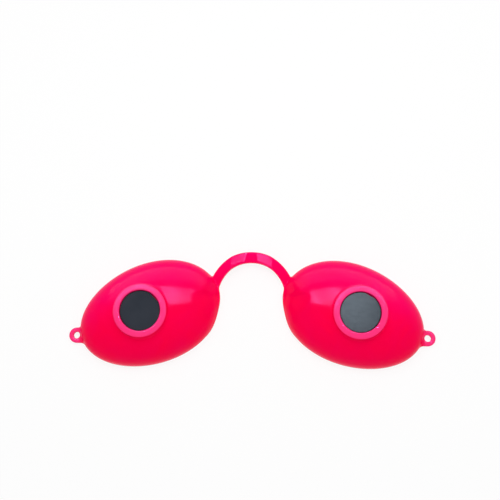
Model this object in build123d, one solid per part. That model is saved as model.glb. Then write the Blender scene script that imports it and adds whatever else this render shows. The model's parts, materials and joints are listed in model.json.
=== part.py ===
"""Tanning goggles: two egg-shaped eyecups on a flexible arched nose bridge, lying dome side up on their rims.

Millimetres. +X runs from side to side, +Y from cheek to brow and +Z out of the face.
The origin is on the table plane, at the middle of the object's footprint. Left and right are the wearer's.
The frame of the real thing is one soft moulding. Here it is divided into the pieces that a person would name,
and the bridge is divided where it flexes, so that each flex is a hinge: a round knuckle in a round seat.
Every side piece is drawn for the +X eye, which is the wearer's left, and mirrored for the other.
"""

from build123d import *
from math import acos, cos, exp, hypot, pi, radians, sin, tan
import os

# eyecup rim, an ellipse with a little egg in it and a blunted nose end, drooping towards the temple
CUP_SPACING = 60.0
CUP_LENGTH = 43.7
CUP_WIDTH = 30.3
CUP_DROOP_DEGREES = 21.2
EGG_SHARE = 0.0145
NOSE_BLUNT_SHARE = 0.032
NOSE_BLUNT_SPREAD = 0.05
NOSE_BLUNT_TURN_DEGREES = 28.0

# eyecup dome
DOME_HEIGHT = 11.0
DOME_POWER = 2.3
WALL = 1.2
APEX_OFFSET = 1.75

# pad at the nose end where the bridge lands, and the pocket sunk into the dome over it, with a wall and a flank
PAD_THICKNESS = 1.7
PAD_SET_IN = 0.8
POCKET_DEPTH = 0.5
POCKET_LIFT = 0.8
POCKET_DRAFT_DEGREES = 35.0
POCKET_FLANK_TURN_DEGREES = 25.0
POCKET_FLANK_DRAFT_DEGREES = 35.0
POCKET_RADIUS = 1.2

# raised ring round the lens
RING_WALL = 1.8
RING_HEIGHT = 1.7
RING_DEPTH = 6.5
RING_DRAFT_DEGREES = 5.0
RING_EDGE_RADIUS = 0.3
RING_FOOT_RADIUS = 0.5
RING_MOUTH_CHAMFER = 0.15

# lens, let into the ring from the front
LENS_RADIUS = 5.8
LENS_THICKNESS = 1.4
LENS_EDGE_CHAMFER = 0.15
LENS_GATE_FLAT = 0.3
LENS_SIDE_CLEARANCE = 0.12
LENS_RECESS = 0.7
LENS_LEDGE_WIDTH = 0.8
LEFT_GATE_DEGREES = 60.0
RIGHT_GATE_DEGREES = 45.0

# strap tab
TAB_RADIUS = 2.3
TAB_THICKNESS = 1.5
TAB_REACH = 1.0
TAB_BELOW_TEMPLE = 2.8
TAB_EDGE_RADIUS = 0.4
STRAP_HOLE_RADIUS = 1.0

# nose bridge, an arch in front view whose crown also stands further out than its feet
BRIDGE_WIDTH = 3.2
BRIDGE_THICKNESS = 2.0
BRIDGE_FLARE = 2.32
BRIDGE_LIFT = 1.15
BRIDGE_RISE = 2.0
BRIDGE_LEAD = 0.06
LEVEL_SHARE = 0.64
ROOT_SWELL = 0.9
BRIDGE_EDGE_RADIUS = 0.4
NOTCH_RADIUS = 0.6
WAIST_RADIUS = 2.2

# shallow dip across the middle of the crown
DIP_HALF_WIDTH = 1.1
DIP_RAMP = 0.8
DIP_DEPTH = 0.35

# flex hinges: wrap, about Y, at each end of the crown, and spread, about Z, at the foot of each arm
CROWN_SHARE = 0.37
WRAP_LIP = 0.6
SPREAD_AXIS_DEGREES = 50.0
SPREAD_LIP = 0.9
HINGE_CLEARANCE = 0.08

OVERRUN = 5.0
OUTLINE_POINTS = 48
DOME_STEPS = 7


def rim_point(angle, inset=0.0):
    """A point of the rim from the cup's centre, at a parameter angle from its temple end."""
    from_nose = angle - radians(NOSE_BLUNT_TURN_DEGREES)
    blunt = NOSE_BLUNT_SHARE * exp(-(1 + cos(from_nose)) / NOSE_BLUNT_SPREAD)
    swell = 1 + EGG_SHARE * cos(3 * angle) - blunt
    along = CUP_LENGTH / 2 * swell * cos(angle)
    across = CUP_WIDTH / 2 * swell * sin(angle)
    droop = radians(CUP_DROOP_DEGREES)
    x = along * cos(droop) + across * sin(droop)
    y = across * cos(droop) - along * sin(droop)
    keep = 1 - inset / hypot(x, y)
    return x * keep, y * keep


# the rim's lowest height and its nose and temple ends, from the cup's centre
OUTLINE_ANGLES = [2 * pi * i / OUTLINE_POINTS for i in range(OUTLINE_POINTS)]
RIM_POINTS = [rim_point(angle) for angle in OUTLINE_ANGLES]
RIM_LOW = min(y for x, y in RIM_POINTS)
NOSE_END = min(RIM_POINTS)
TEMPLE_END = max(RIM_POINTS)

# the bridge springs from the nose ends, and the eyes' line is set so that the footprint is centred
EYE_X = CUP_SPACING / 2
BRIDGE_RADIUS = EYE_X + NOSE_END[0] + BRIDGE_FLARE
BRIDGE_RUN = EYE_X + NOSE_END[0] - BRIDGE_LEAD
BRIDGE_ABOVE_EYES = NOSE_END[1] + BRIDGE_LIFT
EYE_Y = -(BRIDGE_ABOVE_EYES + BRIDGE_RADIUS + BRIDGE_WIDTH / 2 + RIM_LOW) / 2
LENS_X = EYE_X + APEX_OFFSET * cos(radians(CUP_DROOP_DEGREES))
LENS_Y = EYE_Y - APEX_OFFSET * sin(radians(CUP_DROOP_DEGREES))
RING_TOP = DOME_HEIGHT + RING_HEIGHT
SEAT_RADIUS = LENS_RADIUS + LENS_SIDE_CLEARANCE
SEAT_Z = RING_TOP - LENS_RECESS - LENS_THICKNESS
RING_RADIUS = SEAT_RADIUS + RING_WALL
TAB_X = EYE_X + TEMPLE_END[0] + TAB_REACH
TAB_Y = EYE_Y + TEMPLE_END[1] - TAB_BELOW_TEMPLE
BRIDGE_Y = EYE_Y + BRIDGE_ABOVE_EYES
BRIDGE_TOP = BRIDGE_RISE + BRIDGE_THICKNESS
LEVEL_END_X = BRIDGE_RUN * LEVEL_SHARE
WRAP_AXIS_X = BRIDGE_RUN * CROWN_SHARE
WRAP_Z = BRIDGE_RISE + BRIDGE_THICKNESS / 2
SPREAD_X = BRIDGE_RADIUS * sin(radians(SPREAD_AXIS_DEGREES))
SPREAD_Y = BRIDGE_Y + BRIDGE_RADIUS * cos(radians(SPREAD_AXIS_DEGREES))


def dome(inset, height):
    """A dome whose meridians run from the rim as quarters of a full ellipse, up to inside the lens ring."""
    sections = []
    top_share = (RING_RADIUS - WALL) / (CUP_LENGTH / 2 + APEX_OFFSET)
    top_turn = acos(top_share ** (DOME_POWER / 2))
    for step in range(DOME_STEPS + 1):
        turn = top_turn * step / DOME_STEPS
        share = cos(turn) ** (2 / DOME_POWER)
        z = height * sin(turn) ** (2 / DOME_POWER)
        points = []
        for angle in OUTLINE_ANGLES:
            x, y = rim_point(angle, inset)
            x, y = EYE_X + x, EYE_Y + y
            points.append((LENS_X + (x - LENS_X) * share, LENS_Y + (y - LENS_Y) * share, z))
        sections.append(Wire([Spline(*points, periodic=True)]))
    return Solid.make_loft(sections)


def post(x, y, radius, low, high):
    """An upright cylinder between two heights."""
    return Pos(x, y, low) * Cylinder(radius, high - low, align=(Align.CENTER, Align.CENTER, Align.MIN))


def beyond(place, normal):
    """All that lies past a plane, on the side that its normal points to."""
    size = CUP_SPACING + CUP_LENGTH
    return Plane(origin=place, z_dir=normal) * Pos(0, 0, size) * Box(2 * size, 2 * size, 2 * size)


def half_space(x, y, degrees):
    """All that lies past an upright plane through a place, on the side at an angle from +X."""
    return beyond((x, y, 0), (cos(radians(degrees)), sin(radians(degrees)), 0))


def pocket_space(outset):
    """All that lies between the nose and the pocket's leaning wall and flank, both moved outwards."""
    draft = radians(POCKET_DRAFT_DEGREES)
    flank_draft = radians(POCKET_FLANK_DRAFT_DEGREES)
    turn = radians(POCKET_FLANK_TURN_DEGREES)
    wall_x = EYE_X + NOSE_END[0] + POCKET_DEPTH + outset / cos(draft)
    flank_y = EYE_Y + NOSE_END[1] + POCKET_LIFT - outset / cos(flank_draft) / cos(turn)
    level = cos(flank_draft)
    flank_normal = (-sin(turn) * level, cos(turn) * level, sin(flank_draft))
    space = beyond((wall_x, flank_y, PAD_THICKNESS), (-cos(draft), 0, sin(draft)))
    return space & beyond((EYE_X + NOSE_END[0], flank_y, PAD_THICKNESS), flank_normal)


def pocket():
    """The pocket itself, down to the pad, with its inner edges rounded."""
    space = pocket_space(0) & beyond((0, 0, PAD_THICKNESS), (0, 0, 1))
    corner = space.vertices().sort_by_distance((EYE_X, EYE_Y, 0))[0]
    return fillet(space.edges().sort_by_distance(corner)[:3], POCKET_RADIUS)


def pad_face():
    """The rim's outline at the nose end, drawn in under the dome everywhere else."""
    points = []
    for angle in OUTLINE_ANGLES:
        away_share = (1 + cos(angle)) / 2
        x, y = rim_point(angle, PAD_SET_IN * away_share)
        points.append((EYE_X + x, EYE_Y + y))
    return make_face(Spline(*points, periodic=True))


def arch_face():
    """The front view of half the bridge, a quarter of a ring that ends inside the pad."""
    inner = BRIDGE_RADIUS - BRIDGE_WIDTH / 2
    outer = BRIDGE_RADIUS + BRIDGE_WIDTH / 2
    edges = [
        CenterArc((0, BRIDGE_Y), outer, 0, 90),
        Line((0, BRIDGE_Y + outer), (0, BRIDGE_Y + inner)),
        CenterArc((0, BRIDGE_Y), inner, 0, 90),
        Line((inner, BRIDGE_Y), (outer, BRIDGE_Y)),
    ]
    return make_face(edges)


def bridge_band():
    """The side elevation of half the bridge and its pad, as a wall along Y through everything."""
    edges = [Line((0, BRIDGE_RISE), (0, BRIDGE_TOP)), Line((EYE_X, 0), (EYE_X, PAD_THICKNESS))]
    under = (BRIDGE_RISE, (BRIDGE_RUN, 0))
    top = (BRIDGE_TOP, (BRIDGE_RUN + ROOT_SWELL, PAD_THICKNESS))
    for crown_z, foot in (under, top):
        crown = (LEVEL_END_X, crown_z)
        edges.append(Line((0, crown_z), crown))
        edges.append(Spline(crown, foot, tangents=((1, 0), (1, 0))))
        edges.append(Line(foot, (EYE_X, foot[1])))
    return extrude(Plane.XZ * make_face(edges), CUP_SPACING, both=True)


def half_strip():
    """Half the bridge with the pad of the +X cup, its corners in front view and its long edges rounded."""
    plan = pad_face() + arch_face()
    crown_end = HINGE_CLEARANCE
    for radius, pick in ((WAIST_RADIUS, 0), (NOTCH_RADIUS, -1)):
        corners = plan.vertices().filter_by(lambda v: v.X > crown_end).sort_by(Axis.Y)
        plan = fillet(corners[pick], radius)
    strip = extrude(plan, BRIDGE_TOP + OVERRUN) & bridge_band()
    bent = strip.edges().filter_by(GeomType.LINE, reverse=True)
    level = bent.filter_by(lambda e: abs(e.tangent_at(0).Z) < cos(pi / 4))
    return fillet(level, BRIDGE_EDGE_RADIUS)


def lens_ring():
    """The drafted ring round the lens, drawn solid and deep enough to end inside the dome."""
    foot_radius = RING_RADIUS + RING_DEPTH * tan(radians(RING_DRAFT_DEGREES))
    ring = Cone(foot_radius, RING_RADIUS, RING_DEPTH, align=(Align.CENTER, Align.CENTER, Align.MAX))
    ring = Pos(LENS_X, LENS_Y, RING_TOP) * ring
    return fillet(ring.edges().sort_by(Axis.Z)[-1:], RING_EDGE_RADIUS)


def make_eyecup(strip):
    """The dome with its lens ring and seat, and the pad with the foot of the bridge, hollow below."""
    lip_x = SPREAD_X + SPREAD_LIP * cos(radians(SPREAD_AXIS_DEGREES))
    lip_y = SPREAD_Y - SPREAD_LIP * sin(radians(SPREAD_AXIS_DEGREES))
    foot = strip & half_space(lip_x, lip_y, -SPREAD_AXIS_DEGREES)
    foot -= post(SPREAD_X, SPREAD_Y, BRIDGE_WIDTH / 2 + HINGE_CLEARANCE, -OVERRUN, RING_TOP)
    cup = dome(0, DOME_HEIGHT) - pocket() + lens_ring() + foot
    cup -= dome(WALL, DOME_HEIGHT - WALL) - pocket_space(WALL)
    cup -= post(LENS_X, LENS_Y, SEAT_RADIUS, SEAT_Z, RING_TOP + OVERRUN)
    cup -= post(LENS_X, LENS_Y, SEAT_RADIUS - LENS_LEDGE_WIDTH, 0, RING_TOP)
    ring_wall = cup.faces().filter_by(GeomType.CONE).sort_by(SortBy.AREA)[-1]
    cup = fillet(ring_wall.edges().filter_by(GeomType.BSPLINE), RING_FOOT_RADIUS)
    ring_top = cup.faces().filter_by(GeomType.PLANE).sort_by(Axis.Z)[-1]
    return chamfer(ring_top.edges().sort_by(SortBy.LENGTH)[:1], RING_MOUTH_CHAMFER)


def make_strap_tab():
    """A flat lug at the temple end, level with the rim, with the strap's hole through it."""
    lug = post(TAB_X, TAB_Y, TAB_RADIUS, 0, TAB_THICKNESS)
    root = Pos(TAB_X, TAB_Y, TAB_THICKNESS / 2) * Box(4 * TAB_RADIUS, 2 * TAB_RADIUS, TAB_THICKNESS)
    tab = lug + (root - half_space(TAB_X, TAB_Y, 0))
    inner_end = tab.faces().sort_by(Axis.X)[0]
    edges = tab.edges().filter_by(Axis.Z, reverse=True) - inner_end.edges()
    tab = fillet(edges, TAB_EDGE_RADIUS)
    tab -= post(TAB_X, TAB_Y, STRAP_HOLE_RADIUS, -OVERRUN, OVERRUN)
    return tab - dome(0, DOME_HEIGHT)


def make_lens(gate_degrees):
    """A flat disc on the ledge, its edges broken and one short flat where it was cut from its runner."""
    lens = post(0, 0, LENS_RADIUS, 0, LENS_THICKNESS)
    lens = chamfer(lens.edges().filter_by(GeomType.CIRCLE), LENS_EDGE_CHAMFER)
    lens -= half_space(LENS_RADIUS - LENS_GATE_FLAT, 0, 0)
    return Pos(LENS_X, LENS_Y, SEAT_Z) * Rot(0, 0, gate_degrees) * lens


def wrap_knuckle(radius):
    """A cylinder on the wrap axis of the +X side, right across the bridge."""
    return Pos(WRAP_AXIS_X, 0, WRAP_Z) * Rot(90, 0, 0) * Cylinder(radius, CUP_SPACING)


def make_bridge_arm(strip):
    """The limb between the two flex lines, with a round knuckle on each."""
    crown_end = half_space(WRAP_AXIS_X, 0, 0) + wrap_knuckle(BRIDGE_THICKNESS / 2)
    cup_end = half_space(SPREAD_X, SPREAD_Y, 180 - SPREAD_AXIS_DEGREES)
    cup_end += post(SPREAD_X, SPREAD_Y, BRIDGE_WIDTH / 2, -OVERRUN, RING_TOP)
    return strip & crown_end & cup_end


def make_bridge_crown(strip):
    """The middle of the bridge, with a round seat at each end and a shallow dip across its top."""
    half = strip - half_space(WRAP_AXIS_X - WRAP_LIP, 0, 0)
    half -= wrap_knuckle(BRIDGE_THICKNESS / 2 + HINGE_CLEARANCE)
    floor_z = BRIDGE_TOP - DIP_DEPTH
    shoulder_x = DIP_HALF_WIDTH + DIP_RAMP
    dip = [(0, floor_z), (DIP_HALF_WIDTH, floor_z), (shoulder_x, BRIDGE_TOP)]
    dip += [(shoulder_x, RING_TOP), (0, RING_TOP)]
    half -= extrude(Plane.XZ * make_face(Polyline(*dip, close=True)), CUP_SPACING, both=True)
    return half + mirror(half, Plane.YZ)


def save(node, shape):
    export_step(shape.solid(), f"parts/{node}.step")
    print(node, round(shape.volume, 2), "mm3")


os.makedirs("parts", exist_ok=True)
STRIP = half_strip()
save("bridge_crown", make_bridge_crown(STRIP))
SIDE_PIECES = {
    "bridge_arm": make_bridge_arm(STRIP),
    "eyecup": make_eyecup(STRIP),
    "strap_tab": make_strap_tab(),
}
for name, piece in SIDE_PIECES.items():
    save(f"left_{name}", piece)
    save(f"right_{name}", mirror(piece, Plane.YZ))
save("left_lens", make_lens(LEFT_GATE_DEGREES))
save("right_lens", mirror(make_lens(180 - RIGHT_GATE_DEGREES), Plane.YZ))
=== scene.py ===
"""Tanning goggles: the looks of the moulded frame and its lenses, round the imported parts.

The frame is one smooth moulding on the real thing, so it is drawn here as one surface, in millimetres: a
distance field built up from the dome, lens ring, pad, bridge and strap tab of the +X side, which a mesh is
then wrapped round. It is cut where the bridge flexes, and the other side is its mirror image. The lenses are
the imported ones.
"""

import json
import math

import bmesh
import bpy
import numpy as np
from mathutils import Matrix, Vector

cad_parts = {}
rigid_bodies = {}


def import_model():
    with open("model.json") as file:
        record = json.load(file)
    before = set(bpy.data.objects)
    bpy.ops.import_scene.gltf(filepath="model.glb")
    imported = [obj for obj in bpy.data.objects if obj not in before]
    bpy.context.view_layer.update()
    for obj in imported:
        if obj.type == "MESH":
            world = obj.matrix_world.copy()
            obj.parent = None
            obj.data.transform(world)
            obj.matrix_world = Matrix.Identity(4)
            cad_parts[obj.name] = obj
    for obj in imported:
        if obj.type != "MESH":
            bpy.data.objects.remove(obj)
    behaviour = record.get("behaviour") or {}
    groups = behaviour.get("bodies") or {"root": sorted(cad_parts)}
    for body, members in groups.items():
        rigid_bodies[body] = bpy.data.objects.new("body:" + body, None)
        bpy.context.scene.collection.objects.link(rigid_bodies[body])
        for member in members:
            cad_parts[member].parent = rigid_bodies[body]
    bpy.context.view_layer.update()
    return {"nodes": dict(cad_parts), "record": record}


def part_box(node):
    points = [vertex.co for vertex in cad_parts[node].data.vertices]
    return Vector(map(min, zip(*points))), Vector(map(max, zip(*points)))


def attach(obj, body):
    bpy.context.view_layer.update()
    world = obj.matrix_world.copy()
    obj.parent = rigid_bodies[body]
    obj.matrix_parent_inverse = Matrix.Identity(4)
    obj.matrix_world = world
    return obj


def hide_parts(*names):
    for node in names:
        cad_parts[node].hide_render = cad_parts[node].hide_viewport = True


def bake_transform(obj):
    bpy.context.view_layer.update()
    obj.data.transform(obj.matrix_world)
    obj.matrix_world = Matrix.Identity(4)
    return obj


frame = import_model()

MM = 0.001
SIDES = {"left": 1, "right": -1}
MOUNTS = {mount["name"]: mount for mount in frame["record"]["mounts"]}


def box_mm(node):
    """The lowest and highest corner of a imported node, in millimetres."""
    return [np.array(corner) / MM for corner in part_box(node)]


# eyecup rim and dome
CUP_LENGTH = 43.7
CUP_WIDTH = 30.3
CUP_DROOP = math.radians(21.2)
EGG_SHARE = 0.0145
NOSE_BLUNT_SHARE = 0.032
NOSE_BLUNT_SPREAD = 0.05
NOSE_BLUNT_TURN = math.radians(28.0)
DOME_HEIGHT = 11.0
DOME_POWER = 2.3
APEX_OFFSET = 1.75
WALL = 1.2
RIM_EDGE_RADIUS = 0.3

# pad at the nose end where the bridge lands, and the pocket sunk into the dome over it
PAD_THICKNESS = 1.7
PAD_JOIN_RADIUS = 0.35
POCKET_DEPTH = 0.5
POCKET_DRAFT = math.radians(35.0)
FLANK_Y = 3.4
FLANK_TURN = math.radians(25.0)
FLANK_DRAFT = math.radians(35.0)
FLANK_SOFTNESS = 2.0
POCKET_RADIUS = 1.2
SHOULDER_RADIUS = 0.35

# ring round the lens, and the lens's seat in it
RING_RADIUS = 7.72
RING_DRAFT = math.radians(5.0)
RING_EDGE_RADIUS = 0.3
RING_FOOT_RADIUS = 0.5
SEAT_CLEARANCE = 0.12
LEDGE_WIDTH = 0.8
MOUTH_RADIUS = 0.15

# strap tab
TAB_RADIUS = 2.3
TAB_ROOT = 4.0
TAB_EDGE_RADIUS = 0.4
TAB_JOIN_RADIUS = 0.8
HOLE_EDGE_RADIUS = 0.2

# nose bridge
BRIDGE_WIDTH = 3.2
BRIDGE_FLARE = 2.32
BRIDGE_LEAD = 0.06
LEVEL_SHARE = 0.64
LEVEL_END_SOFTNESS = 0.4
ROOT_SWELL = 0.9
BRIDGE_EDGE_RADIUS = 0.4
NOTCH_RADIUS = 0.6
WAIST_RADIUS = 0.5
DIP_HALF_WIDTH = 1.1
DIP_RAMP = 0.8
DIP_DEPTH = 0.35
DIP_TILT = math.radians(10.0)

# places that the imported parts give
LENS_LOW, LENS_HIGH = box_mm("left_lens")
LENS_X, LENS_Y = (LENS_LOW[:2] + LENS_HIGH[:2]) / 2
LENS_RADIUS = (LENS_HIGH[0] - LENS_LOW[0]) / 2
SEAT_Z = LENS_LOW[2]
RING_TOP = box_mm("left_eyecup")[1][2]
CROWN_LOW, CROWN_HIGH = box_mm("bridge_crown")
EYE_X = LENS_X - APEX_OFFSET * math.cos(CUP_DROOP)
EYE_Y = LENS_Y + APEX_OFFSET * math.sin(CUP_DROOP)
TAB_X, TAB_Y = np.array(MOUNTS["left_strap_hole"]["pos_m"][:2]) / MM
TAB_THICKNESS = MOUNTS["left_strap_hole"]["dims"]["length_mm"]
STRAP_HOLE_RADIUS = MOUNTS["left_strap_hole"]["dims"]["r_mm"]

# where the frame is cut into pieces: just past the dip, and part of the way down each limb
CROWN_CUT_X = 2.0
LIMB_CUT = math.radians(33.0)

# mesh, and how far it reaches past the middle plane, past the frame's sides and up and down
CELL = 0.25
MIDDLE_OVERLAP = 12 * CELL
MESH_MARGIN = 3 * CELL
MESH_REACH_Y = 19.0
RELAX_ROUNDS = 4
PROBE = 0.01
LEAST_SLOPE_SQUARED = 0.05
CUT_TOLERANCE = 1e-7
OUTLINE_POINTS = 1440


def rim_points(inset=0.0):
    """The rim's outline from the cup's centre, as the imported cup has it."""
    angle = np.arange(OUTLINE_POINTS) * 2 * math.pi / OUTLINE_POINTS
    blunt = NOSE_BLUNT_SHARE * np.exp(-(1 + np.cos(angle - NOSE_BLUNT_TURN)) / NOSE_BLUNT_SPREAD)
    swell = 1 + EGG_SHARE * np.cos(3 * angle) - blunt
    along = CUP_LENGTH / 2 * swell * np.cos(angle)
    across = CUP_WIDTH / 2 * swell * np.sin(angle)
    x = along * math.cos(CUP_DROOP) + across * math.sin(CUP_DROOP)
    y = across * math.cos(CUP_DROOP) - along * math.sin(CUP_DROOP)
    keep = 1 - inset / np.hypot(x, y)
    return x * keep, y * keep


class Outline:
    """A closed outline as a radius for each bearing from the lens axis."""

    def __init__(self, points):
        x = EYE_X + points[0] - LENS_X
        y = EYE_Y + points[1] - LENS_Y
        order = np.argsort(np.arctan2(y, x))
        self.bearing = np.arctan2(y, x)[order]
        self.radius = np.hypot(x, y)[order]
        even = np.arange(OUTLINE_POINTS) * 2 * math.pi / OUTLINE_POINTS - math.pi
        radius = np.interp(even, self.bearing, self.radius, period=2 * math.pi)
        self.lean = (np.roll(radius, -1) - np.roll(radius, 1)) / (2 * (even[1] - even[0]))
        self.even = even

    def at(self, bearing):
        """The radius and its rate of change at some bearings."""
        turn = 2 * math.pi
        radius = np.interp(bearing, self.bearing, self.radius, period=turn)
        return radius, np.interp(bearing, self.even, self.lean, period=turn)


RIM = Outline(rim_points())
INNER_RIM = Outline(rim_points(WALL))
NOSE_X = EYE_X + rim_points()[0].min()
BRIDGE_RADIUS = NOSE_X + BRIDGE_FLARE
BRIDGE_RUN = NOSE_X - BRIDGE_LEAD
LEVEL_END_X = BRIDGE_RUN * LEVEL_SHARE
BRIDGE_Y = CROWN_HIGH[1] - BRIDGE_RADIUS - BRIDGE_WIDTH / 2


def eased(t):
    """A smooth step from 0 to 1."""
    t = np.clip(t, 0, 1)
    return t * t * (3 - 2 * t)


def joined(a, b, radius):
    """Two solids together, with a fillet where they meet."""
    fillet = np.hypot(np.maximum(radius - a, 0), np.maximum(radius - b, 0))
    return np.maximum(radius, np.minimum(a, b)) - fillet


def shared(a, b, radius):
    """What two solids have in common, with the edge between them rounded."""
    edge = np.hypot(np.maximum(radius + a, 0), np.maximum(radius + b, 0))
    return np.minimum(-radius, np.maximum(a, b)) + edge


def dome(radius, bearing, z, outline, height):
    """Distance to a dome whose meridians are quarters of a full ellipse from its rim up to the lens axis."""
    reach, lean = outline.at(bearing)
    out = radius / reach
    up = np.maximum(z, 0) / height
    level = np.maximum((out ** DOME_POWER + up ** DOME_POWER) ** (1 / DOME_POWER), PROBE)
    flat_rate = (out / level) ** (DOME_POWER - 1) / reach
    rise_rate = (up / level) ** (DOME_POWER - 1) / height
    rate = np.sqrt(flat_rate ** 2 * (1 + (lean / reach) ** 2) + rise_rate ** 2)
    return (level - 1) / rate


def pocket(x, y, z, outset):
    """The space between the nose and the pocket's leaning wall and flank, both moved outwards."""
    up = z - PAD_THICKNESS
    wall = (x - NOSE_X - POCKET_DEPTH) * math.cos(POCKET_DRAFT) - up * math.sin(POCKET_DRAFT) - outset
    down = (x - NOSE_X) * math.sin(FLANK_TURN) - (y - FLANK_Y) * math.cos(FLANK_TURN)
    flank = down * math.cos(FLANK_DRAFT) - up * math.sin(FLANK_DRAFT) - outset
    return shared(wall, flank, FLANK_SOFTNESS + outset)


def bridge_plan(x, y, radius, bearing):
    """Front view of the bridge's arch joined to the rim's outline, with its notch and its waist."""
    reach, lean = RIM.at(bearing)
    pad = (radius - reach) / np.sqrt(1 + (lean / reach) ** 2)
    arch_radius = np.where(y > BRIDGE_Y, np.hypot(x, y - BRIDGE_Y), x)
    arch = np.abs(arch_radius - BRIDGE_RADIUS) - BRIDGE_WIDTH / 2
    arch = np.maximum(arch, BRIDGE_Y - BRIDGE_WIDTH / 2 - y)
    outwards = eased((arch_radius - BRIDGE_RADIUS) / BRIDGE_WIDTH + 0.5)
    return joined(pad, arch, WAIST_RADIUS + (NOTCH_RADIUS - WAIST_RADIUS) * outwards)


def bridge(x, y, z, radius, bearing):
    """The strip of the bridge, which comes down to the pad, with a shallow dip across its crown."""
    past = x - LEVEL_END_X
    bend = np.hypot(past, LEVEL_END_SOFTNESS)
    fall = (CROWN_HIGH[2] - PAD_THICKNESS) / (BRIDGE_RUN + ROOT_SWELL - LEVEL_END_X)
    top = CROWN_HIGH[2] - fall * (past + bend) / 2
    top_lean = np.sqrt(1 + (fall * (1 + past / bend) / 2) ** 2)
    drop = CROWN_LOW[2] / (BRIDGE_RUN - LEVEL_END_X)
    under = np.maximum(CROWN_LOW[2] - drop * (past + bend) / 2, 0)
    under_lean = np.sqrt(1 + (drop * (1 + past / bend) / 2) ** 2)
    dip = DIP_DEPTH - (y - CROWN_HIGH[1] + BRIDGE_WIDTH / 2) * math.tan(DIP_TILT)
    top = top - dip * (1 - eased((x - DIP_HALF_WIDTH) / DIP_RAMP))
    level = np.maximum((z - top) / top_lean, (under - z) / under_lean)
    return shared(bridge_plan(x, y, radius, bearing), level, BRIDGE_EDGE_RADIUS)


def ring(radius, z):
    """The drafted ring, drawn solid."""
    side = (radius - RING_RADIUS - (RING_TOP - z) * math.tan(RING_DRAFT)) * math.cos(RING_DRAFT)
    return shared(side, z - RING_TOP, RING_EDGE_RADIUS)


def strap_tab(x, y, z):
    """The lug at the temple end, drawn back into the cup."""
    along = np.clip(x - TAB_X, -TAB_ROOT, 0)
    plan = np.hypot(x - TAB_X - along, y - TAB_Y) - TAB_RADIUS
    return shared(plan, np.abs(z - TAB_THICKNESS / 2) - TAB_THICKNESS / 2, TAB_EDGE_RADIUS)


def moulding(x, y, z):
    """Signed distance, about, from places on the +X side to the frame's surface, in millimetres."""
    x = np.abs(x)
    radius = np.hypot(x - LENS_X, y - LENS_Y)
    bearing = np.arctan2(y - LENS_Y, x - LENS_X)
    sunk = shared(pocket(x, y, z, 0.0), PAD_THICKNESS - z, POCKET_RADIUS)
    shoulder = SHOULDER_RADIUS + FLANK_SOFTNESS * (1 - eased((y - FLANK_Y) / FLANK_SOFTNESS))
    body = shared(dome(radius, bearing, z, RIM, DOME_HEIGHT), -sunk, shoulder)
    body = joined(body, ring(radius, z), RING_FOOT_RADIUS)
    body = joined(body, bridge(x, y, z, radius, bearing), PAD_JOIN_RADIUS)
    body = joined(body, strap_tab(x, y, z), TAB_JOIN_RADIUS)
    body = shared(body, -z, RIM_EDGE_RADIUS)
    hollow = dome(radius, bearing, z, INNER_RIM, DOME_HEIGHT - WALL)
    hollow = shared(hollow, -pocket(x, y, z, WALL), SHOULDER_RADIUS)
    body = shared(body, -hollow, RIM_EDGE_RADIUS)
    seat_radius = LENS_RADIUS + SEAT_CLEARANCE
    seat = np.maximum(radius - seat_radius, SEAT_Z - z)
    body = shared(body, -seat, MOUTH_RADIUS)
    body = shared(body, seat_radius - LEDGE_WIDTH - radius, MOUTH_RADIUS)
    strap_hole = np.hypot(x - TAB_X, y - TAB_Y) - STRAP_HOLE_RADIUS
    return shared(body, -strap_hole, HOLE_EDGE_RADIUS)


def slopes(field, points):
    """The field's gradient at some points."""
    parts = []
    for axis in np.eye(3) * PROBE:
        parts.append((field(*(points + axis).T) - field(*(points - axis).T)) / (2 * PROBE))
    return np.stack(parts, axis=1)


def on_surface(field, points):
    """The points, each moved along the gradient to where the field is zero."""
    slope = slopes(field, points)
    step = field(*points.T) / np.maximum((slope ** 2).sum(1), LEAST_SLOPE_SQUARED)
    step = np.clip(step, -CELL, CELL)
    return points - step[:, None] * slope


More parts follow.
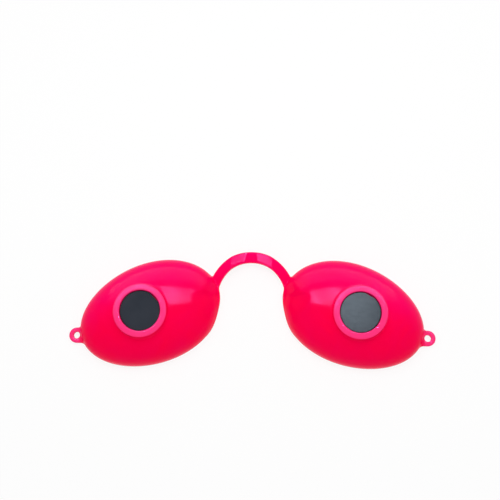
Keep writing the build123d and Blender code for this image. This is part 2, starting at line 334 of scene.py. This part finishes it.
def wrapped_mesh(field, low, high):
    """A mesh of four-sided faces round the zero of a field, with a vertex in every cell that it crosses."""
    counts = [int(math.ceil((b - a) / CELL)) + 1 for a, b in zip(low, high)]
    axes = [a + CELL * np.arange(n) for a, n in zip(low, counts)]
    values = field(*np.meshgrid(*axes, indexing="ij", sparse=True))
    inside = values < 0
    held = np.zeros([n - 1 for n in counts], int)
    corners = [np.array([i, j, k]) for i in (0, 1) for j in (0, 1) for k in (0, 1)]
    for i, j, k in corners:
        held += inside[i:i + held.shape[0], j:j + held.shape[1], k:k + held.shape[2]]
    cells = np.argwhere((held > 0) & (held < len(corners)))
    number = np.full(held.shape, -1)
    number[tuple(cells.T)] = np.arange(len(cells))

    total = np.zeros((len(cells), 3))
    crossings = np.zeros(len(cells))
    for axis in range(3):
        along = np.eye(3, dtype=int)[axis]
        for corner in corners:
            if corner[axis]:
                continue
            start = cells + corner
            a, b = values[tuple(start.T)], values[tuple((start + along).T)]
            hit = (a < 0) != (b < 0)
            share = a[hit] / (a[hit] - b[hit])
            total[hit] += start[hit] + share[:, None] * along
            crossings[hit] += 1
    points = np.array(low) + CELL * total / crossings[:, None]

    faces = []
    for axis in range(3):
        along, side, other = np.roll(np.eye(3, dtype=int), -axis, axis=0)
        first = np.moveaxis(inside, axis, 0)
        change = np.moveaxis(first[1:] != first[:-1], 0, axis)
        start = np.argwhere(change)
        fits = (start[:, (axis + 1) % 3] > 0) & (start[:, (axis + 2) % 3] > 0)
        fits &= (start[:, (axis + 1) % 3] < held.shape[(axis + 1) % 3])
        fits &= (start[:, (axis + 2) % 3] < held.shape[(axis + 2) % 3])
        start = start[fits]
        loop = [start - side - other, start - other, start, start - side]
        quads = np.stack([number[tuple(cell.T)] for cell in loop], axis=1)
        outwards = inside[tuple(start.T)]
        quads[~outwards] = quads[~outwards][:, ::-1]
        faces.append(quads)
    faces = np.concatenate(faces)

    ends = np.concatenate([faces[:, [i, (i + 1) % 4]] for i in range(4)])
    ends = np.unique(np.sort(ends, axis=1), axis=0)
    neighbours = np.bincount(ends.ravel(), minlength=len(points))
    for _ in range(RELAX_ROUNDS):
        middle = np.zeros_like(points)
        for a, b in (ends.T, ends.T[::-1]):
            for axis in range(3):
                middle[:, axis] += np.bincount(a, weights=points[b, axis], minlength=len(points))
        middle /= neighbours[:, None]
        points = on_surface(field, (points + middle) / 2)
    return on_surface(field, points), faces


def cut(mesh, at, normal):
    """Cuts away what lies beyond a plane, given in millimetres, and closes the cut with one flat face."""
    geometry = mesh.verts[:] + mesh.edges[:] + mesh.faces[:]
    result = bmesh.ops.bisect_plane(
        mesh, geom=geometry, dist=CUT_TOLERANCE, plane_co=Vector(at) * MM, plane_no=normal, clear_outer=True)
    edges = [item for item in result["geom_cut"] if isinstance(item, bmesh.types.BMEdge)]
    caps = bmesh.ops.holes_fill(mesh, edges=edges, sides=0)["faces"]
    for cap in caps:
        cap.smooth = False
        for edge in cap.edges:
            edge.smooth = False


def piece_from(points, faces, name, material, side, cuts):
    """An object cut from the wrapped mesh, mirrored for the right side."""
    data = bpy.data.meshes.new(name)
    data.from_pydata((points * MM).tolist(), [], faces.tolist())
    data.shade_smooth()
    mesh = bmesh.new()
    mesh.from_mesh(data)
    for at, normal in cuts:
        cut(mesh, at, normal)
    if side < 0:
        bmesh.ops.scale(mesh, vec=(-1, 1, 1), verts=mesh.verts)
        bmesh.ops.reverse_faces(mesh, faces=mesh.faces)
    mesh.to_mesh(data)
    mesh.free()
    data.materials.append(material)
    piece = bpy.data.objects.new(name, data)
    bpy.context.scene.collection.objects.link(piece)
    return piece


# materials: painted light: the pink is painted rosier towards the brow and temples, where more light falls,
# and painted lighter on ring tops and strap tabs as a painted highlight
LIT_SIDE_LEAN = 0.3
LIT_SIDE_START = 4.0
LIT_SIDE_END = 20.0
PINK_IOR = 1.1
PINK_TINT = (1.0, 0.25, 0.9, 1.0)
# painted light: the second ramp is a lit copy of the first, painted towards the brow and temples
RED_PINKS = [(0.3, (1.0, 0.0, 0.056)), (0.7, (0.97, 0.0, 0.068))]
LIT_SIDE_PINKS = [(0.3, (1.0, 0.0, 0.118)), (0.7, (0.97, 0.0, 0.134))]
# painted highlight: the lighter pink for ring tops and strap tabs
HIGHLIGHT_PINK = (1.0, 0.036, 0.20, 1.0)
PINK_ROUGHNESSES = [(0.35, 0.06), (0.75, 0.13)]
LENS_IOR = 1.5
LENS_SPECULAR_LEVEL = 0.1
LENS_TINT = (0.72, 0.88, 1.0, 1.0)
SLATES = [(0.3, (0.024, 0.028, 0.038)), (0.7, (0.032, 0.036, 0.047))]
LENS_ROUGHNESSES = [(0.35, 0.12), (0.75, 0.18)]


def new_material(name):
    """An empty node material, its shader, and a short way to add a node to it."""
    material = bpy.data.materials.new(name)
    material.use_nodes = True
    nodes = material.node_tree.nodes
    shader = nodes["Principled BSDF"]

    def add(kind, **settings):
        node = nodes.new(kind)
        for key, value in settings.items():
            if key in node.inputs:
                node.inputs[key].default_value = value
            else:
                setattr(node, key.lower(), value)
        return node

    return material, shader, add


def ramp(add, link, source, stops):
    """A colour ramp from a number, with its two stops as (place, colour or grey)."""
    node = add("ShaderNodeValToRGB")
    for element, (place, colour) in zip(node.color_ramp.elements, stops):
        element.position = place
        element.color = (*colour, 1) if isinstance(colour, tuple) else (colour, colour, colour, 1)
    link(source, node.inputs["Fac"])
    return node.outputs["Color"]


def noise(add, link, place, scale, detail, distortion=0.0):
    """A noise texture at some places."""
    texture = add("ShaderNodeTexNoise", Scale=scale, Detail=detail, Distortion=distortion)
    link(place, texture.inputs["Vector"])
    return texture.outputs["Fac"]


def place_share(add, link, source, start, end):
    """A smooth step from 0 to 1 between two places, given in millimetres."""
    share = add("ShaderNodeMapRange", interpolation_type="SMOOTHSTEP")
    share.inputs["From Min"].default_value = start * MM
    share.inputs["From Max"].default_value = end * MM
    link(source, share.inputs["Value"])
    return share.outputs["Result"]


def uneven(add, link, shader, height, strength, distance):
    """Makes the shader's surface slightly uneven, by a height from 0 to 1."""
    bump = add("ShaderNodeBump", Strength=strength, Distance=distance)
    link(height, bump.inputs["Height"])
    link(bump.outputs["Normal"], shader.inputs["Normal"])


def hot_pink_plastic():
    """Glossy moulded plastic, with faint flow marks, handling marks in its gloss and a slight orange peel;
    painted light makes it rosier towards the brow and temples, and a painted highlight lightens ring tops and
    strap tabs.
    """
    material, shader, add = new_material("hot_pink_plastic")
    link = material.node_tree.links.new
    place = add("ShaderNodeTexCoord").outputs["Object"]
    shader.inputs["IOR"].default_value = PINK_IOR
    shader.inputs["Specular Tint"].default_value = PINK_TINT
    flow = noise(add, link, place, scale=90.0, detail=3.0, distortion=1.5)
    red = ramp(add, link, flow, RED_PINKS)
    lit_pink = ramp(add, link, flow, LIT_SIDE_PINKS)
    # painted light: rosier pink towards the brow and temples, where more light falls
    axes = add("ShaderNodeSeparateXYZ")
    link(place, axes.inputs[0])
    sideways = add("ShaderNodeMath", operation="ABSOLUTE")
    link(axes.outputs["X"], sideways.inputs[0])
    height = add("ShaderNodeMath", operation="MULTIPLY_ADD")
    link(sideways.outputs[0], height.inputs[0])
    height.inputs[1].default_value = LIT_SIDE_LEAN
    link(axes.outputs["Y"], height.inputs[2])
    body = add("ShaderNodeMix", data_type="RGBA")
    link(place_share(add, link, height.outputs[0], LIT_SIDE_START, LIT_SIDE_END), body.inputs["Factor"])
    link(red, body.inputs["A"])
    link(lit_pink, body.inputs["B"])
    # painted highlight: ring tops and strap tabs are painted a lighter pink for the light they catch
    edge_low, edge_middle = RING_TOP - RING_EDGE_RADIUS, RING_TOP - RING_EDGE_RADIUS / 2
    ring_top_highlight = place_share(add, link, axes.outputs["Z"], edge_low, edge_middle)
    tab_highlight = place_share(add, link, sideways.outputs[0], TAB_X - TAB_RADIUS, TAB_X)
    highlight_share = add("ShaderNodeMath", operation="MAXIMUM")
    link(ring_top_highlight, highlight_share.inputs[0])
    link(tab_highlight, highlight_share.inputs[1])
    pink = add("ShaderNodeMix", data_type="RGBA")
    link(highlight_share.outputs[0], pink.inputs["Factor"])
    link(body.outputs["Result"], pink.inputs["A"])
    pink.inputs["B"].default_value = HIGHLIGHT_PINK
    link(pink.outputs["Result"], shader.inputs["Base Color"])
    smudge = noise(add, link, place, scale=260.0, detail=5.0, distortion=0.6)
    link(ramp(add, link, smudge, PINK_ROUGHNESSES), shader.inputs["Roughness"])
    peel = noise(add, link, place, scale=900.0, detail=2.0)
    uneven(add, link, shader, peel, strength=0.12, distance=0.00003)
    return material


def dark_lens_plastic():
    """Glossy slate-grey lens plastic, with faint wipe marks and a slightly uneven surface."""
    material, shader, add = new_material("dark_lens_plastic")
    link = material.node_tree.links.new
    place = add("ShaderNodeTexCoord").outputs["Object"]
    shader.inputs["IOR"].default_value = LENS_IOR
    shader.inputs["Specular IOR Level"].default_value = LENS_SPECULAR_LEVEL
    shader.inputs["Specular Tint"].default_value = LENS_TINT
    cloud = noise(add, link, place, scale=140.0, detail=2.0)
    link(ramp(add, link, cloud, SLATES), shader.inputs["Base Color"])
    wipe = noise(add, link, place, scale=600.0, detail=4.0, distortion=2.0)
    link(ramp(add, link, wipe, LENS_ROUGHNESSES), shader.inputs["Roughness"])
    wave = noise(add, link, place, scale=150.0, detail=1.0)
    uneven(add, link, shader, wave, strength=0.08, distance=0.00004)
    return material


PINK = hot_pink_plastic()
LENS = dark_lens_plastic()


# the frame's pieces

def build_frame():
    """The crown, and on each side the bridge's limb and the eyepiece with its pad and strap tab."""
    low = (-MIDDLE_OVERLAP, -MESH_REACH_Y, -MESH_MARGIN)
    high = (TAB_X + TAB_RADIUS + MESH_MARGIN, MESH_REACH_Y, RING_TOP + MESH_MARGIN)
    points, faces = wrapped_mesh(moulding, low, high)
    crown_end = ((CROWN_CUT_X, 0, 0), (1, 0, 0))
    other_end = ((-CROWN_CUT_X, 0, 0), (-1, 0, 0))
    side_start = ((CROWN_CUT_X, 0, 0), (-1, 0, 0))
    across = Vector((math.cos(LIMB_CUT), -math.sin(LIMB_CUT), 0))
    limb_end = ((0, BRIDGE_Y, 0), across)
    eye_start = ((0, BRIDGE_Y, 0), -across)

    crown = piece_from(points, faces, "bridge_middle", PINK, 1, [crown_end, other_end])
    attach(crown, "bridge")
    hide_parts("bridge_crown")
    for name, side in SIDES.items():
        limb = piece_from(points, faces, f"{name}_limb", PINK, side, [side_start, limb_end])
        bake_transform(limb)
        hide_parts(f"{name}_bridge_arm")
        eyepiece = piece_from(points, faces, f"{name}_eyepiece", PINK, side, [eye_start])
        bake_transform(eyepiece)
        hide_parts(f"{name}_eyecup", f"{name}_strap_tab")


build_frame()
for side_name in SIDES:
    lens = frame["nodes"][f"{side_name}_lens"]
    lens.data.materials.clear()
    lens.data.materials.append(LENS)


# floor, surround, lamps and camera, in metres

FLOOR_SIZE = 4.0
FLOOR_GAP = 0.00002
FLOOR_WHITE = (0.95, 0.95, 0.95, 1)
FLOOR_GLOW_SHARE = 0.85
WHITE = (1, 1, 1, 1)
SURROUND_LEVEL = 0.7
LAMP_HEIGHT = 0.2
CAMERA_DISTANCE = 0.24
CAMERA_AZIMUTH = math.radians(16.25)
CAMERA_ELEVATION = math.radians(82.1)
CAMERA_ROLL = math.radians(0.79)
CAMERA_CLIP_START = CAMERA_DISTANCE / 20

# the photograph's size in pixels, its millimetres to a pixel, and the pixel where the object's origin is
PHOTO_SIZE = 500
PHOTO_SCALE = 0.3023
OBJECT_PIXEL = (252.05, 311.5)


def looked_at(nodes, link):
    """1 where the camera looks, also through a reflection or a see-through piece, and 0 elsewhere."""
    path = nodes.new("ShaderNodeLightPath")
    seen = path.outputs["Is Camera Ray"]
    for ray in ("Is Glossy Ray", "Is Transmission Ray"):
        either = nodes.new("ShaderNodeMath")
        either.operation = "MAXIMUM"
        link(seen, either.inputs[0])
        link(path.outputs[ray], either.inputs[1])
        seen = either.outputs[0]
    return seen


def floor_material():
    """White paper: the camera and reflections see it as white, with a trace of the shadow on it."""
    material, shader, add = new_material("white_floor")
    link = material.node_tree.links.new
    shader.inputs["Base Color"].default_value = FLOOR_WHITE
    shader.inputs["Roughness"].default_value = 0.9
    shader.inputs["Specular IOR Level"].default_value = 0.1
    share = add("ShaderNodeMath", operation="MULTIPLY")
    link(looked_at(material.node_tree.nodes, link), share.inputs[0])
    share.inputs[1].default_value = FLOOR_GLOW_SHARE
    glow = add("ShaderNodeEmission")
    glow.inputs["Color"].default_value = WHITE
    mix = add("ShaderNodeMixShader")
    link(share.outputs[0], mix.inputs[0])
    link(shader.outputs[0], mix.inputs[1])
    link(glow.outputs[0], mix.inputs[2])
    link(mix.outputs[0], material.node_tree.nodes["Material Output"].inputs["Surface"])
    return material


def make_floor():
    """A plain floor, a hair's breadth under the rims."""
    data = bpy.data.meshes.new("floor")
    half = FLOOR_SIZE / 2
    corners = [(x * half, y * half, -FLOOR_GAP) for x, y in ((-1, -1), (1, -1), (1, 1), (-1, 1))]
    data.from_pydata(corners, [], [(0, 1, 2, 3)])
    data.materials.append(floor_material())
    floor = bpy.data.objects.new("floor", data)
    bpy.context.scene.collection.objects.link(floor)


def make_world():
    """An even grey surround that the camera and reflections see as white."""
    world = bpy.data.worlds.new("surround")
    world.use_nodes = True
    nodes, link = world.node_tree.nodes, world.node_tree.links.new
    background = nodes["Background"]
    background.inputs["Color"].default_value = WHITE
    strength = nodes.new("ShaderNodeMapRange")
    strength.inputs["To Min"].default_value = SURROUND_LEVEL
    strength.inputs["To Max"].default_value = 1.0
    link(looked_at(nodes, link), strength.inputs["Value"])
    link(strength.outputs["Result"], background.inputs["Strength"])
    bpy.context.scene.world = world


def group(name, pieces):
    """A collection of its own for some pieces, which a lamp can be kept to."""
    collection = bpy.data.collections.new(name)
    for piece in pieces:
        collection.objects.link(piece)
    return collection


def soft_box(name, place, width, height, radiance, reflects_in=None, target=None):
    """A rectangular lamp whose brightness is given as it would be seen, where white is 1.

    It faces straight down unless it has a target. A lamp that is kept to some pieces shows only as
    a reflection in them, and any other gives only diffuse light.
    """
    if target is None:
        target = (place[0], place[1], 0)
    data = bpy.data.lights.new(name, "AREA")
    data.shape = "RECTANGLE"
    data.size, data.size_y = width, height
    data.energy = radiance * math.pi * width * height
    lamp = bpy.data.objects.new(name, data)
    lamp.location = place
    lamp.rotation_euler = (Vector(target) - Vector(place)).to_track_quat("-Z", "Y").to_euler()
    lamp.visible_camera = False
    lamp.visible_diffuse = reflects_in is None
    lamp.visible_glossy = reflects_in is not None
    lamp.light_linking.receiver_collection = reflects_in
    bpy.context.scene.collection.objects.link(lamp)


def make_camera():
    """The camera at the photograph's viewing angle, aimed at what lies at the middle of its picture."""
    half_width = PHOTO_SIZE * PHOTO_SCALE / 2 * MM
    middle = PHOTO_SIZE / 2
    aim = Vector((middle - OBJECT_PIXEL[0], OBJECT_PIXEL[1] - middle, 0)) * PHOTO_SCALE * MM
    level = math.cos(CAMERA_ELEVATION)
    back_x, back_y = math.sin(CAMERA_AZIMUTH) * level, -math.cos(CAMERA_AZIMUTH) * level
    back = Vector((back_x, back_y, math.sin(CAMERA_ELEVATION)))
    data = bpy.data.cameras.new("camera")
    data.angle = 2 * math.atan(half_width / CAMERA_DISTANCE)
    data.clip_start = CAMERA_CLIP_START
    camera = bpy.data.objects.new("camera", data)
    place = back * CAMERA_DISTANCE
    forward = (aim - place).normalized()
    right = forward.cross(Vector((0, 1, 0))).normalized()
    up = right.cross(forward)
    turn = Matrix((right, up, -forward)).transposed().to_4x4()
    camera.matrix_world = Matrix.Translation(place) @ turn @ Matrix.Rotation(CAMERA_ROLL, 4, "Z")
    bpy.context.scene.collection.objects.link(camera)
    bpy.context.scene.camera = camera


make_floor()
make_world()
PINK_PIECES = [piece for piece in bpy.data.objects if PINK.name in piece.material_slots]
FRAME_PIECES = group("frame_pieces", PINK_PIECES)
LENSES = group("lenses", [frame["nodes"][f"{name}_lens"] for name in SIDES])
soft_box("key_box", (0.0075, 0.0675, LAMP_HEIGHT), width=0.285, height=0.125, radiance=1.8)
soft_box("gloss_box", (0.0075, 0.078, LAMP_HEIGHT), width=0.285, height=0.104, radiance=125.0,
         reflects_in=FRAME_PIECES)
soft_box("brow_box", (0.0, 0.35, 0.16), width=0.9, height=0.3, radiance=9.0,
         reflects_in=FRAME_PIECES, target=(0, 0, 0.01))
soft_box("lens_box", (0.037, 0.036, LAMP_HEIGHT), width=0.05, height=0.05, radiance=32.0, reflects_in=LENSES)
make_camera()
bpy.context.scene.view_settings.view_transform = "Standard"
